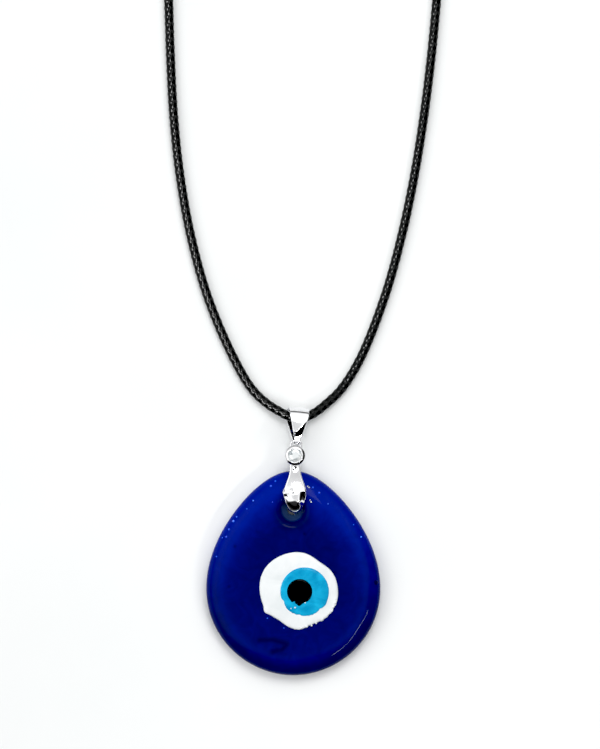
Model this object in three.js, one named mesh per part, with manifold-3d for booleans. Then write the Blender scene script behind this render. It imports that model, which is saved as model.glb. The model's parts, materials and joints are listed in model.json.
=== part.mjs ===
// A glass evil eye pendant on a waxed cord necklace, lying on its back. Millimetres, +Z up.
// The origin is on the flat back of the glass, at the middle of the drop's round end.
// +Y points from there to the necklace's clasp, and the surface it lies on is z = 0.

import * as THREE from "three";
import { mergeVertices } from "three/addons/utils/BufferGeometryUtils.js";
import Module from "manifold-3d";

const wasm = await Module();
wasm.setup();

// ---- driving dimensions ----

const GAP = 0.3; // left between pieces that only touch

// The outline's half width at height s, from -1 at the bottom to 1 at the top, is
// sqrt(1 - s^2) * (halfWidth + taper * s + shoulder * s^2).
const DROP = { centreY: 2.95, halfHeight: 22.95, halfWidth: 19.29, taper: -3.54, shoulder: -1.93 };
const GLASS = { thickness: 5.8, rimHeight: 2.2, frontRound: 9, backRound: 1.6, roundness: 0.8 };
const RELIEF = { depth: 1.7, from: 8, to: 13 }; // the back rises here, to leave room for the clip
const HOLE = { x: -0.2, y: 17.1, radius: 2.7, flare: 1 };

const WHITE = { x: 1.3, y: -0.9, radius: 8.65, rise: 0.45 };
const IRIS = { x: 2.54, y: -1.12, radius: 5.44, rise: 0.3 };
const PUPIL = { x: 1.42, y: -1.12, radius: 2.83, rise: 0.25 };

const LOOP = {
  x: 1.1, // the middle of its round top
  y: 37.7,
  z: 2.7,
  topRadius: 2.35,
  bightRadius: 1,
  strip: 0.45, // thickness of the band
  topWidth: 4.8,
  bendWidth: 4.4, // its edges curve in from here
  bightWidth: 0.9,
};
const BIGHT = { x: 0.85, y: 32.6, z: 3.75 }; // the middle of the bar that the loop hooks round
const LOOP_ROLL = THREE.MathUtils.degToRad(8);

const CLIP = { x: 0.4, topY: 30.9, neckY: 27, swellY: 23.8, crestY: 20, tipY: 16.2 };
const LEG = { inner: 2.35, outer: 3.05, bulge: 3.65 }; // heights above and below the clip's mid plane
const PEG = { halfWidth: 0.6, height: 1.6, length: 1.1, endY: 19 }; // the prongs that meet in the hole
// The clip's edge as half widths and y, from the tip up: where each curve bends, and where it ends.
const CLIP_EDGE = [
  { bend: [1.9, 16.2], end: [2.3, 18.4] },
  { bend: [2.8, 20.2], end: [2.55, 21.6] },
  { bend: [2.1, 23.6], end: [1.4, 25] },
  { bend: [1, 26.6], end: [1.3, 31] },
];
const EYELET = { x: 0.7, width: 2.9, height: 2.5, corner: 0.8, thickness: 0.6 };
const EYELET_HOLE = { width: 1.9, height: 1.5, corner: 0.4 };

const CUP = { x: 0.4, y: 29.4, base: 6.9, radius: 2.28, height: 1.3, bore: 1.75, floor: 0.35, seat: 1.1 };
const STONE = { radius: 1.62, culet: 0.6, table: 0.95, pavilion: 0.3, girdle: 0.2, crown: 0.45 };

const CORD_RADIUS = 1;
const CORD_STEPS_PER_POINT = 2;
const CORD_SIDES = 8;
const CRIMP = { radius: 1.6, bore: 1.28, depth: 6, length: 7, grip: 4.5 };

const WIRE = 0.3; // radius of the chain's and the rings' wire
const WIRE_GAP = 0.15;
const HOOK_BACK = 2 * WIRE + WIRE_GAP; // how far a link reaches back round the wire before it
const RING_RADIUS = 1.7;
const LINK = { halfLength: 2, halfWidth: 1.3, count: 12 };
const CHAIN_TURN = THREE.MathUtils.degToRad(-5); // each link is laid this much round from the last
const LEAN = Math.PI / 4; // a link leans this much to one side, and the next one to the other
const TAB = { radius: 1.25, hole: 1, outer: 1.5, thickness: 0.4 }; // the flat eyelets
const CRIMP_EYELET = CRIMP.length + TAB.outer - 0.2; // from a crimp's mouth to the middle of its eyelet
const CRIMP_REACH = CRIMP_EYELET + TAB.radius; // and to the eyelet's far wall

// The lobster clasp points along +X from the wire that it hangs on.
const CLASP = { thickness: 2.2, middle: 6.4, halfLength: 5.6, halfWidth: 3.1 };
const OPENING = { x: 7.7, y: -0.1, halfLength: 2.9, halfWidth: 1.7 };
const JAW = { from: 5.3, to: 9.8, low: 0.4 }; // the stretch of the clasp that the lever closes
const PIVOT = { x: 4.2, y: 1.3, pin: 0.35, hole: 0.42, boss: 0.95 };
const SLOT = { from: 2.3, low: 0.1, width: 1.1 }; // the gap in the clasp's body that the lever turns in
const LEVER = { thickness: 0.6, middle: -0.15, low: 0.9, tipX: 9.5, play: 0.1 };
const THUMB = { x: 3.7, y: 3.5, radius: 0.6, stemFrom: 3.3, stemTo: 4.6 };
const SPRING = { radius: 0.65, wire: 0.13, z: 0.35 };

// The cord's middle line from the left crimp, down the left side, through the bail and back up.
const CORD_ROUTE = [
  [-3, 227, 1.65],
  [-7.5, 227, 1.65],
  [-15, 225.4, 1.25],
  [-21.6, 220.6, 1.02],
  [-26, 212.5, 1.02],
  [-28.4, 202, 1.02],
  [-29.4, 190, 1.02],
  [-29.6, 175, 1.02],
  [-29.2, 160, 1.02],
  [-28.5, 145, 1.02],
  [-28, 131.7, 1.02],
  [-27.55, 118.2, 1.02],
  [-26.8, 104.7, 1.02],
  [-25.3, 91.2, 1.02],
  [-22.8, 77.7, 1.02],
  [-19, 64.3, 1.02],
  [-13.2, 50.8, 1.02],
  [-9.1, 44, 1.2],
  [-5.6, 40.75, 1.7],
  [-2.9, 39.1, 2.3],
  [-0.9, 38.08, 2.67],
  [1.1, 37.75, 2.7],
  [3.1, 38.08, 2.67],
  [5.1, 39.1, 2.3],
  [7.2, 40.75, 1.7],
  [10.6, 44, 1.2],
  [14.9, 50.8, 1.02],
  [20.3, 64.3, 1.02],
  [24.1, 77.7, 1.02],
  [27, 91.2, 1.02],
  [29.2, 104.7, 1.02],
  [30.9, 118.2, 1.02],
  [32.2, 131.7, 1.02],
  [33.6, 150, 1.02],
  [34, 170, 1.02],
  [32, 185, 1.02],
  [25.5, 196.5, 1.02],
  [14.5, 202.6, 1.25],
  [4.5, 203.4, 1.65],
  [0, 202.6, 1.65],
].map(([x, y, z]) => new THREE.Vector3(x, y, z));

// ---- helpers ----

const necklace = new THREE.Group();

function addPiece(name, geometry, material) {
  const mesh = new THREE.Mesh(geometry, material);
  mesh.name = name;
  necklace.add(mesh);
  return mesh;
}

function finish(color, roughness, metalness) {
  return new THREE.MeshStandardMaterial({ color, roughness, metalness });
}

function toSolid(geometry) {
  const bare = geometry.clone();
  bare.deleteAttribute("normal");
  bare.deleteAttribute("uv");
  const merged = mergeVertices(bare);
  const vertProperties = new Float32Array(merged.attributes.position.array);
  const triVerts = new Uint32Array(merged.index.array);
  return new wasm.Manifold(new wasm.Mesh({ numProp: 3, vertProperties, triVerts }));
}

function toGeometry(solid) {
  const mesh = solid.getMesh();
  const geometry = new THREE.BufferGeometry();
  geometry.setAttribute("position", new THREE.BufferAttribute(mesh.vertProperties, 3));
  geometry.setIndex(new THREE.BufferAttribute(mesh.triVerts, 1));
  return geometry;
}

// A flat outline in X and Y, given thickness from one height to another.
function plate(shape, low, high, curveSegments = 8) {
  const geometry = new THREE.ExtrudeGeometry(shape, {
    depth: high - low,
    bevelEnabled: false,
    curveSegments,
  });
  return geometry.translate(0, 0, low);
}

// An outline in Y and Z, given a width along X and centred on the given x.
function profile(shape, centreX, width, curveSegments = 8) {
  const geometry = plate(shape, -width / 2, width / 2, curveSegments);
  const toSide = new THREE.Matrix4().makeBasis(
    new THREE.Vector3(0, 1, 0),
    new THREE.Vector3(0, 0, 1),
    new THREE.Vector3(1, 0, 0),
  );
  return geometry.applyMatrix4(toSide).translate(centreX, 0, 0);
}

// [radius, height] points turned round the Z axis.
function turned(points, segments) {
  const outline = points.map(([radius, height]) => new THREE.Vector2(radius, height));
  return new THREE.LatheGeometry(outline, segments).rotateX(Math.PI / 2);
}

function circle(x, y, radius) {
  return new THREE.Shape().absarc(x, y, radius, 0, 2 * Math.PI, false);
}

function box(lowX, highX, lowY, highY) {
  const shape = new THREE.Shape();
  shape.moveTo(lowX, lowY);
  shape.lineTo(highX, lowY);
  shape.lineTo(highX, highY);
  shape.lineTo(lowX, highY);
  return shape;
}

function roundedRectangle(x, y, width, height, corner) {
  const shape = new THREE.Shape();
  const right = x + width / 2 - corner;
  const left = x - width / 2 + corner;
  const top = y + height / 2 - corner;
  const bottom = y - height / 2 + corner;
  shape.absarc(right, top, corner, 0, Math.PI / 2, false);
  shape.absarc(left, top, corner, Math.PI / 2, Math.PI, false);
  shape.absarc(left, bottom, corner, Math.PI, 1.5 * Math.PI, false);
  shape.absarc(right, bottom, corner, 1.5 * Math.PI, 2 * Math.PI, false);
  return shape;
}

// A round wire along a closed line of points in the XY plane.
function wireRing(points, radius, sides = 6) {
  const positions = [];
  const count = points.length;
  points.forEach((point, i) => {
    const before = points[(i + count - 1) % count];
    const after = points[(i + 1) % count];
    const along = after.clone().sub(before).normalize();
    for (let side = 0; side < sides; side += 1) {
      const angle = ((side + 0.5) * 2 * Math.PI) / sides;
      const out = radius * Math.cos(angle);
      positions.push(point.x + along.y * out, point.y - along.x * out, radius * Math.sin(angle));
    }
  });
  const index = [];
  for (let i = 0; i < count; i += 1) {
    for (let side = 0; side < sides; side += 1) {
      const here = i * sides;
      const ahead = ((i + 1) % count) * sides;
      const beside = (side + 1) % sides;
      index.push(here + side, ahead + side, ahead + beside);
      index.push(here + side, ahead + beside, here + beside);
    }
  }
  const geometry = new THREE.BufferGeometry();
  geometry.setAttribute("position", new THREE.Float32BufferAttribute(positions, 3));
  geometry.setIndex(index);
  return geometry;
}

// ---- the glass and its eye ----

function dropOutline(angle) {
  const s = Math.sin(angle);
  const halfWidth = DROP.halfWidth + DROP.taper * s + DROP.shoulder * s * s;
  return new THREE.Vector2(Math.cos(angle) * halfWidth, DROP.centreY + DROP.halfHeight * s);
}

// How far in from the outline each row of the glass lies, and how high, from the back to the front.
function glassRows() {
  const rows = [];
  for (const share of [1, 0.6, 0.3]) {
    const angle = (share * Math.PI) / 2;
    const inset = GLASS.backRound * (1 - Math.cos(angle));
    rows.push({ inset, z: GLASS.rimHeight * (1 - Math.sin(angle)) });
  }
  const frontSteps = 7;
  for (let step = 0; step <= frontSteps; step += 1) {
    const angle = ((step / frontSteps) * Math.PI) / 2;
    const inset = GLASS.frontRound * (1 - Math.cos(angle) ** GLASS.roundness);
    const rise = (GLASS.thickness - GLASS.rimHeight) * Math.sin(angle) ** GLASS.roundness;
    rows.push({ inset, z: GLASS.rimHeight + rise });
  }
  return rows;
}

function glassBlank() {
  const around = 72;
  const centre = new THREE.Vector2(0, DROP.centreY);
  const rows = glassRows();
  const positions = [];
  for (const { inset, z } of rows) {
    for (let i = 0; i < around; i += 1) {
      const edge = dropOutline((i / around) * 2 * Math.PI).sub(centre);
      const point = edge.multiplyScalar(1 - inset / edge.length()).add(centre);
      positions.push(point.x, point.y, z);
    }
  }
  const back = positions.length / 3;
  positions.push(0, DROP.centreY, 0);
  const front = back + 1;
  positions.push(0, DROP.centreY, GLASS.thickness);
  const index = [];
  const last = (rows.length - 1) * around;
  for (let i = 0; i < around; i += 1) {
    const next = (i + 1) % around;
    index.push(back, next, i);
    index.push(front, last + i, last + next);
    for (let row = 0; row < last; row += around) {
      index.push(row + i, row + next, row + around + next);
      index.push(row + i, row + around + next, row + around + i);
    }
  }
  const geometry = new THREE.BufferGeometry();
  geometry.setAttribute("position", new THREE.Float32BufferAttribute(positions, 3));
  geometry.setIndex(index);
  return geometry;
}

function glassDrop() {
  const below = -1;
  const beyond = DROP.centreY + DROP.halfHeight + 1;
  const relief = new THREE.Shape();
  relief.moveTo(RELIEF.from, below);
  relief.lineTo(beyond, below);
  relief.lineTo(beyond, RELIEF.depth);
  relief.lineTo(RELIEF.to, RELIEF.depth);
  relief.lineTo(RELIEF.from, 0);
  const reliefCut = toSolid(profile(relief, 0, 3 * DROP.halfWidth));
  const top = GLASS.thickness;
  const wide = HOLE.radius + HOLE.flare;
  const bore = turned(
    [
      [0, below],
      [wide, below],
      [wide, RELIEF.depth],
      [HOLE.radius, RELIEF.depth + HOLE.flare],
      [HOLE.radius, top - 1.3 * HOLE.flare],
      [wide, top],
      [wide, top + 1],
      [0, top + 1],
    ],
    32,
  );
  const boreCut = toSolid(bore.translate(HOLE.x, HOLE.y, 0));
  return toGeometry(toSolid(glassBlank()).subtract(reliefCut).subtract(boreCut));
}

// A flattened blob of glass: each colour of the eye lies on the one before it.
function eyeSpot({ x, y, radius, rise }, base) {
  const rounded = 0.6 * rise;
  const blob = turned(
    [
      [0, base],
      [radius, base],
      [radius, base + rise - rounded],
      [radius - rounded, base + rise],
      [0, base + rise],
    ],
    48,
  );
  return blob.translate(x, y, 0);
}

function addGlass() {
  addPiece("glass_drop", glassDrop(), finish(0x06109a, 0.06, 0));
  const white = GLASS.thickness;
  const iris = white + WHITE.rise;
  const pupil = iris + IRIS.rise;
  addPiece("eye_white", eyeSpot(WHITE, white), finish(0xf4f6f6, 0.15, 0));
  addPiece("eye_iris", eyeSpot(IRIS, iris), finish(0x00a5dc, 0.12, 0));
  addPiece("eye_pupil", eyeSpot(PUPIL, pupil), finish(0x050505, 0.1, 0));
}

// ---- the bail ----

// Two arcs and the straight lines that touch both, round the loop's top and its bight.
function teardrop(topRadius, bightRadius, length, path) {
  const turn = Math.PI / 2 + Math.asin((LOOP.topRadius - LOOP.bightRadius) / length);
  path.absarc(0, 0, topRadius, -turn, turn, false);
  path.absarc(-length, 0, bightRadius, turn, 2 * Math.PI - turn, false);
  return path;
}

function bailLoop() {
  const length = Math.hypot(BIGHT.y - LOOP.y, BIGHT.z - LOOP.z);
  const side = teardrop(LOOP.topRadius, LOOP.bightRadius, length, new THREE.Shape());
  const innerTop = LOOP.topRadius - LOOP.strip;
  const innerBight = LOOP.bightRadius - LOOP.strip;
  side.holes.push(teardrop(innerTop, innerBight, length, new THREE.Path()));
  const band = toSolid(profile(side, 0, LOOP.topWidth, 16));

  const plan = new THREE.Shape();
  const top = LOOP.topRadius;
  const bottom = -length - LOOP.bightRadius - 1;
  plan.moveTo(LOOP.topWidth / 2, top + 1);
  plan.lineTo(-LOOP.topWidth / 2, top + 1);
  plan.lineTo(-LOOP.topWidth / 2, top);
  plan.quadraticCurveTo(-LOOP.bendWidth / 2, 0, -LOOP.bightWidth / 2, -length);
  plan.lineTo(-LOOP.bightWidth / 2, bottom);
  plan.lineTo(LOOP.bightWidth / 2, bottom);
  plan.lineTo(LOOP.bightWidth / 2, -length);
  plan.quadraticCurveTo(LOOP.bendWidth / 2, 0, LOOP.topWidth / 2, top);
  const taper = toSolid(plate(plan, -2 * LOOP.topRadius, 2 * LOOP.topRadius));
  return toGeometry(band.intersect(taper));
}

// One leg from the side: out from the yoke, along the leaf, down to the peg and back inside.
function clipLeg(direction) {
  const at = (y, height) => [y, BIGHT.z + direction * height];
  const yoke = CLIP.topY - 1;
  const shape = new THREE.Shape();
  shape.moveTo(...at(CLIP.topY, 0));
  shape.quadraticCurveTo(...at(CLIP.topY - 0.6, LEG.outer), ...at(CLIP.neckY, LEG.outer));
  shape.lineTo(...at(CLIP.swellY, LEG.outer));
  shape.quadraticCurveTo(...at(CLIP.crestY + 1.8, LEG.bulge), ...at(CLIP.crestY, LEG.bulge));
  shape.quadraticCurveTo(...at(CLIP.tipY, LEG.bulge - 0.1), ...at(CLIP.tipY, 1.4));
  shape.lineTo(...at(CLIP.tipY + 0.2, GAP));
  shape.lineTo(...at(CLIP.tipY + PEG.length, GAP));
  shape.quadraticCurveTo(...at(CLIP.tipY + PEG.length + 0.1, LEG.inner), ...at(PEG.endY, LEG.inner));
  shape.lineTo(...at(CLIP.neckY, LEG.inner));
  shape.quadraticCurveTo(...at(yoke, LEG.inner), ...at(yoke, 0));
  return shape;
}

// The clip seen from the front: yoke, neck and leaf.
function clipPlan() {
  const edge = new THREE.Path();
  edge.moveTo(0, CLIP.tipY);
  CLIP_EDGE.forEach(({ bend, end }) => edge.quadraticCurveTo(...bend, ...end));
  const right = edge.getPoints(6);
  const left = right.slice(1).map(({ x, y }) => new THREE.Vector2(-x, y));
  return new THREE.Shape([...right, ...left.reverse()]);
}

function clipEyelet() {
  const bar = (EYELET.height - EYELET_HOLE.height) / 2;
  const y = BIGHT.y + bar / 2 - EYELET.height / 2;
  const eyelet = roundedRectangle(EYELET.x, y, EYELET.width, EYELET.height, EYELET.corner);
  const hole = roundedRectangle(EYELET.x, y, EYELET_HOLE.width, EYELET_HOLE.height, EYELET_HOLE.corner);
  eyelet.holes.push(hole);
  const low = BIGHT.z - EYELET.thickness / 2;
  return toSolid(plate(eyelet, low, low + EYELET.thickness, 4));
}

function pinchClip() {
  const [front, back] = [1, -1].map((direction) => toSolid(profile(clipLeg(direction), CLIP.x, 8, 6)));
  const plan = toSolid(plate(clipPlan(), -1, 9).translate(CLIP.x, 0, 0));
  let fork = front.add(back).intersect(plan);
  for (const side of [1, -1]) {
    const nearX = CLIP.x + side * PEG.halfWidth;
    const farX = CLIP.x + side * 2 * LEG.outer;
    const beside = box(Math.min(nearX, farX), Math.max(nearX, farX), CLIP.tipY - 1, PEG.endY);
    fork = fork.subtract(toSolid(plate(beside, BIGHT.z - PEG.height, BIGHT.z + PEG.height)));
  }
  const seat = toSolid(plate(circle(CUP.x, CUP.y, CUP.seat), BIGHT.z + LEG.inner, CUP.base, 6));
  return toGeometry(fork.add(clipEyelet()).add(seat));
}

function stoneCup() {
  const { base, radius, height, bore, floor } = CUP;
  const cup = turned(
    [
      [0, base],
      [0.7 * radius, base],
      [radius, base + 0.45 * height],
      [radius, base + 0.9 * height],
      [bore + 0.15, base + height],
      [bore, base + 0.8 * height],
      [bore, base + floor],
      [0, base + floor],
    ],
    32,
  );
  return cup.translate(CUP.x, CUP.y, 0);
}

function rhinestone() {
  const base = CUP.base + CUP.floor + 0.1;
  const girdle = base + STONE.pavilion;
  const stone = turned(
    [
      [0, base],
      [STONE.culet, base],
      [STONE.radius, girdle],
      [STONE.radius, girdle + STONE.girdle],
      [STONE.table, girdle + STONE.girdle + STONE.crown],
      [0, girdle + STONE.girdle + STONE.crown],
    ],
    12,
  );
  return stone.translate(CUP.x, CUP.y, 0);
}

function addBail() {
  const silver = () => finish(0xd6d8dc, 0.12, 1);
  const loop = addPiece("bail_loop", bailLoop(), silver());
  const tilt = Math.atan2(LOOP.z - BIGHT.z, LOOP.y - BIGHT.y);
  const lean = Math.atan2(BIGHT.x - LOOP.x, LOOP.y - BIGHT.y);
  loop.position.set(LOOP.x, LOOP.y, LOOP.z);
  loop.rotation.set(tilt, LOOP_ROLL, lean);
  addPiece("pinch_clip", pinchClip(), silver());
  addPiece("stone_cup", stoneCup(), silver());
  addPiece("rhinestone", rhinestone(), finish(0xf2f6fa, 0.03, 0));
}

// ---- the cord and its crimps ----

// The steps along the cord crowd together where its points do.
class CordCurve extends THREE.CatmullRomCurve3 {
  getSpacedPoints(divisions) {
    return this.getPoints(divisions);
  }

  getTangentAt(share) {
    return this.getTangent(share);
  }
}

function cordTube() {
  const section = new THREE.Shape();
  section.absarc(0, 0, CORD_RADIUS, 0, 2 * Math.PI, false);
  return new THREE.ExtrudeGeometry(section, {
    steps: (CORD_ROUTE.length - 1) * CORD_STEPS_PER_POINT,
    extrudePath: new CordCurve(CORD_ROUTE, false, "centripetal"),
    curveSegments: CORD_SIDES / 2, // a full circle gets twice this many sides
  });
}

// A flat eyelet in the XY plane whose middle is at x.
function tabEyelet(x) {
  const shape = circle(x, 0, TAB.outer);
  shape.holes.push(circle(x, 0, TAB.hole));
  return toSolid(plate(shape, -TAB.thickness / 2, TAB.thickness / 2, 12));
}

// The crimp opens at its origin and points along +X.
function crimp() {
  const { radius, bore, depth, length } = CRIMP;
  const barrel = turned(
    [
      [0, depth],
      [bore, depth],
      [bore, 0],
      [radius, 0],
      [radius, 0.9 * length],
      [0.75 * radius, length],
      [0, length],
    ],
    20,
  ).rotateY(Math.PI / 2);
  return toGeometry(toSolid(barrel).add(tabEyelet(CRIMP_EYELET)));
}

// Where a row of rings and links starts, and which way it heads.
function rowStart(end, before) {
  const direction = end.clone().sub(before).setZ(0).normalize();
  const mouth = end.clone().addScaledVector(direction, -CRIMP.grip);
  return {
    mouth,
    heading: Math.atan2(direction.y, direction.x),
    point: mouth.clone().addScaledVector(direction, CRIMP_REACH),
  };
}

function lay(mesh, point, heading, lean) {
  mesh.position.copy(point);
  mesh.rotation.set(lean, 0, heading, "ZYX");
}

function step(point, heading, distance) {
  return point.clone().add(new THREE.Vector3(distance * Math.cos(heading), distance * Math.sin(heading), 0));
}

// ---- rings and chain: each piece's origin is the wire or wall that it hangs on ----

const brightSteel = () => finish(0xc9ccd0, 0.2, 1);

function ringOf(count, radius, x, y) {
  return Array.from({ length: count }, (_, i) => {
    const angle = (i / count) * 2 * Math.PI;
    return new THREE.Vector2(x + radius * Math.cos(angle), y + radius * Math.sin(angle));
  });
}

function jumpRing() {
  return wireRing(ringOf(16, RING_RADIUS, RING_RADIUS - HOOK_BACK, 0), WIRE);
}

function chainLink() {
  const points = [];
  const straight = LINK.halfLength - LINK.halfWidth;
  for (const end of [1, -1]) {
    for (let i = 0; i <= 6; i += 1) {
      const angle = (i / 6 - 0.5) * Math.PI;
      const x = end * (straight + LINK.halfWidth * Math.cos(angle));
      const y = end * LINK.halfWidth * Math.sin(angle);
      points.push(new THREE.Vector2(LINK.halfLength - HOOK_BACK + x, y));
    }
  }
  return wireRing(points, WIRE);
}

function chainDrop() {
  const centre = TAB.radius - HOOK_BACK;
  const shoulder = centre + TAB.outer;
  const bead = turned(
    [
      [0, shoulder - 0.3],
      [0.5, shoulder - 0.2],
      [0.7, shoulder + 0.6],
      [1.2, shoulder + 2],
      [1.4, shoulder + 3.2],
      [1.1, shoulder + 4.3],
      [0.5, shoulder + 4.9],
      [0, shoulder + 5],
    ],
    16,
  ).rotateY(Math.PI / 2);
  return toGeometry(toSolid(bead).add(tabEyelet(centre)));
}

function addChain() {
  const start = rowStart(CORD_ROUTE[0], CORD_ROUTE[1]);
  lay(addPiece("crimp_left", crimp(), brightSteel()), start.mouth, start.heading, 0);
  lay(addPiece("ring_left", jumpRing(), brightSteel()), start.point, start.heading, LEAN);
  let heading = start.heading;
  let point = step(start.point, heading, 2 * RING_RADIUS - HOOK_BACK);
  for (let i = 1; i <= LINK.count; i += 1) {
    const link = addPiece(`chain_link_${String(i).padStart(2, "0")}`, chainLink(), brightSteel());
    heading += CHAIN_TURN;
    lay(link, point, heading, i % 2 ? -LEAN : LEAN);
    point = step(point, heading, 2 * LINK.halfLength - HOOK_BACK);
  }
  lay(addPiece("chain_drop", chainDrop(), brightSteel()), point, heading, -LEAN);
}

// ---- the lobster clasp ----

function ellipse(x, y, halfLength, halfWidth) {
  return new THREE.Shape().absellipse(x, y, halfLength, halfWidth, 0, 2 * Math.PI, false);
}

// A plate of this thickness whose middle is at height z.
function layer(shape, thickness, z = 0) {
  return toSolid(plate(shape, z - thickness / 2, z + thickness / 2, 20));
}

function cutter(shape) {
  return layer(shape, 2 * CLASP.thickness);
}

function claspBody() {
  const tailX = TAB.radius - HOOK_BACK;
  const above = 2 * CLASP.halfWidth;
  const opening = ellipse(OPENING.x, OPENING.y, OPENING.halfLength, OPENING.halfWidth);
  const slot = layer(box(SLOT.from, JAW.from + 0.1, SLOT.low, above), SLOT.width);
  const body = layer(ellipse(CLASP.middle, 0, CLASP.halfLength, CLASP.halfWidth), CLASP.thickness)
    .subtract(cutter(circle(tailX, 0, TAB.radius)))
    .subtract(cutter(opening))
    .subtract(cutter(box(JAW.from, JAW.to, JAW.low, above)))
    .subtract(slot)
    .subtract(cutter(circle(PIVOT.x, PIVOT.y, PIVOT.hole)));
  return toGeometry(body.add(tabEyelet(tailX)));
}

function claspLever() {
  const { thickness, middle, play } = LEVER;
  const outer = ellipse(CLASP.middle, 0, CLASP.halfLength - play, CLASP.halfWidth - play);
  const inner = ellipse(OPENING.x, OPENING.y, OPENING.halfLength + play, OPENING.halfWidth + play);
  const arm = layer(outer, thickness, middle)
    .subtract(cutter(inner))
    .intersect(cutter(box(PIVOT.x, LEVER.tipX, LEVER.low, 2 * CLASP.halfWidth)));
  const boss = layer(circle(PIVOT.x, PIVOT.y, PIVOT.boss), thickness, middle);
  const stem = layer(box(THUMB.stemFrom, THUMB.stemTo, PIVOT.y, THUMB.y), thickness, middle);
  const thumb = layer(circle(THUMB.x, THUMB.y, THUMB.radius), thickness, middle);
  const pinHole = cutter(circle(PIVOT.x, PIVOT.y, PIVOT.hole));
  return toGeometry(arm.add(boss).add(stem).add(thumb).subtract(pinHole));
}

function claspPin() {
  return plate(circle(PIVOT.x, PIVOT.y, PIVOT.pin), -CLASP.thickness / 2, CLASP.thickness / 2, 16);
}

// One turn of spring wire round the pin, beside the lever.
function claspSpring() {
  const points = ringOf(14, SPRING.radius, PIVOT.x, PIVOT.y);
  return wireRing(points, SPRING.wire).translate(0, 0, SPRING.z);
}

function addClasp() {
  const last = CORD_ROUTE.length - 1;
  const start = rowStart(CORD_ROUTE[last], CORD_ROUTE[last - 1]);
  lay(addPiece("crimp_right", crimp(), brightSteel()), start.mouth, start.heading, 0);
  lay(addPiece("ring_right", jumpRing(), brightSteel()), start.point, start.heading, LEAN);
  const point = step(start.point, start.heading, 2 * RING_RADIUS - HOOK_BACK);
  const pieces = {
    clasp_body: claspBody(),
    clasp_lever: claspLever(),
    clasp_pin: claspPin(),
    clasp_spring: claspSpring(),
  };
  for (const [name, geometry] of Object.entries(pieces)) {
    lay(addPiece(name, geometry, brightSteel()), point, start.heading, 0);
  }
}

addGlass();
addBail();
addPiece("cord", cordTube(), finish(0x0b0b0c, 0.45, 0));
addChain();
addClasp();

export default necklace;
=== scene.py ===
"""The looks of a glass evil eye pendant on a waxed cord necklace, lying on a pale table.

Lengths in the constants are millimetres, in the frame's own axes: +Y from the glass to the clasp, +Z up.
"""

import json
import math

import bpy
import numpy as np
from mathutils import Matrix, Vector


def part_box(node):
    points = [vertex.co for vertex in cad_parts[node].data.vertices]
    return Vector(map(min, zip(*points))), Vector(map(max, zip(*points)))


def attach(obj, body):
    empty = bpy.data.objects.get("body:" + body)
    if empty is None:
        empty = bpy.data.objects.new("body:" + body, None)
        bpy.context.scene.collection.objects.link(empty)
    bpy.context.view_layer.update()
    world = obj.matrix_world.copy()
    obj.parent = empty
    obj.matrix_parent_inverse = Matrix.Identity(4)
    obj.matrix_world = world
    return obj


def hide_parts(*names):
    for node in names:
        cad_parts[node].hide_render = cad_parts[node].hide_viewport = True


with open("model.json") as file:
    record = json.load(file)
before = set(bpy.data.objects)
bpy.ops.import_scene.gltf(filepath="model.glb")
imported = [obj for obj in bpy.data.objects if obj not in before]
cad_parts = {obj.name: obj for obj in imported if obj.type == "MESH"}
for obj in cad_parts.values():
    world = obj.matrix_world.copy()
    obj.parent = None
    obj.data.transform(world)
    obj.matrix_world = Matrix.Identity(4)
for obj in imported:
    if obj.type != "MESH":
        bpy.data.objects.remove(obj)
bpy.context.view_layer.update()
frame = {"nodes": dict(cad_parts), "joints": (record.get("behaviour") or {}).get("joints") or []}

MM = 0.001
TAU = 2 * math.pi
joints = {joint["name"]: joint for joint in frame["joints"]}
random = np.random.default_rng(7)

# The camera looks straight down and sees this much of the table.
VIEW_WIDTH = 134.8
VIEW_SHAPE = 749 / 600
VIEW_HEIGHT = VIEW_WIDTH * VIEW_SHAPE
VIEW_CENTRE = (1.5, 47.5)
VIEW_LENS = 400
SENSOR = 36

# The drop's half width at height s, from -1 to 1, is sqrt(1 - s^2) * (half + taper s + shoulder s^2).
DROP_HALF = 19.29
DROP_TAPER = -3.54
DROP_SHOULDER = -1.93
RIM_HEIGHT = 2.2
FRONT_ROUND = 9
BACK_ROUND = 1.6
# The waves of the front rise and fall by this much, so its top is kept this far below the CAD solid's.
FRONT_WAVES = 0.06
# The hollow in the back under the clip, as where it starts and ends in Y and its depth.
RELIEF = (8, 13, 1.7)
HOLE_RADIUS = 2.7
HOLE_NECK = 1.1
NECK_ROUND = 0.35
LIP_WIDTH = 2.6
GLASS_SIDES = 600
FRONT_ROWS = 90

# Marks in the glass's front: dark specks, a fold, and bubbles as (x, y, radius).
DARK_SPOTS = [(-13.1, 9), (-14.4, 0), (2.5, 11.8), (9.3, 3.1)]
WRINKLE = [(-7.5, -12.1), (-4.5, -11.9), (-1.3, -12.9), (-2.6, -14.3), (-4.6, -14.7)]
SEEDS = [
    (-4.0, 23.6, 0.2),
    (-5.0, 22.5, 0.26),
    (-4.65, 18.9, 0.16),
    (-9.0, 19.2, 0.22),
    (-10.4, 17.4, 0.15),
    (-12.7, 15.6, 0.2),
    (-13.4, 14.6, 0.3),
    (-14.4, 12.8, 0.24),
    (-15.0, 11.1, 0.26),
    (-15.9, 10.9, 0.16),
    (-17.2, 6.7, 0.18),
    (4.4, 22.2, 0.2),
    (5.8, 21.0, 0.24),
    (7.8, 18.5, 0.15),
    (13.5, 13.8, 0.18),
    (15.2, 11.1, 0.2),
    (-5.8, -7.1, 0.18),
    (-2.1, -9.3, 0.15),
]
SIDE_BEAD = (18.5, 0.9, 0.5)
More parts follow.
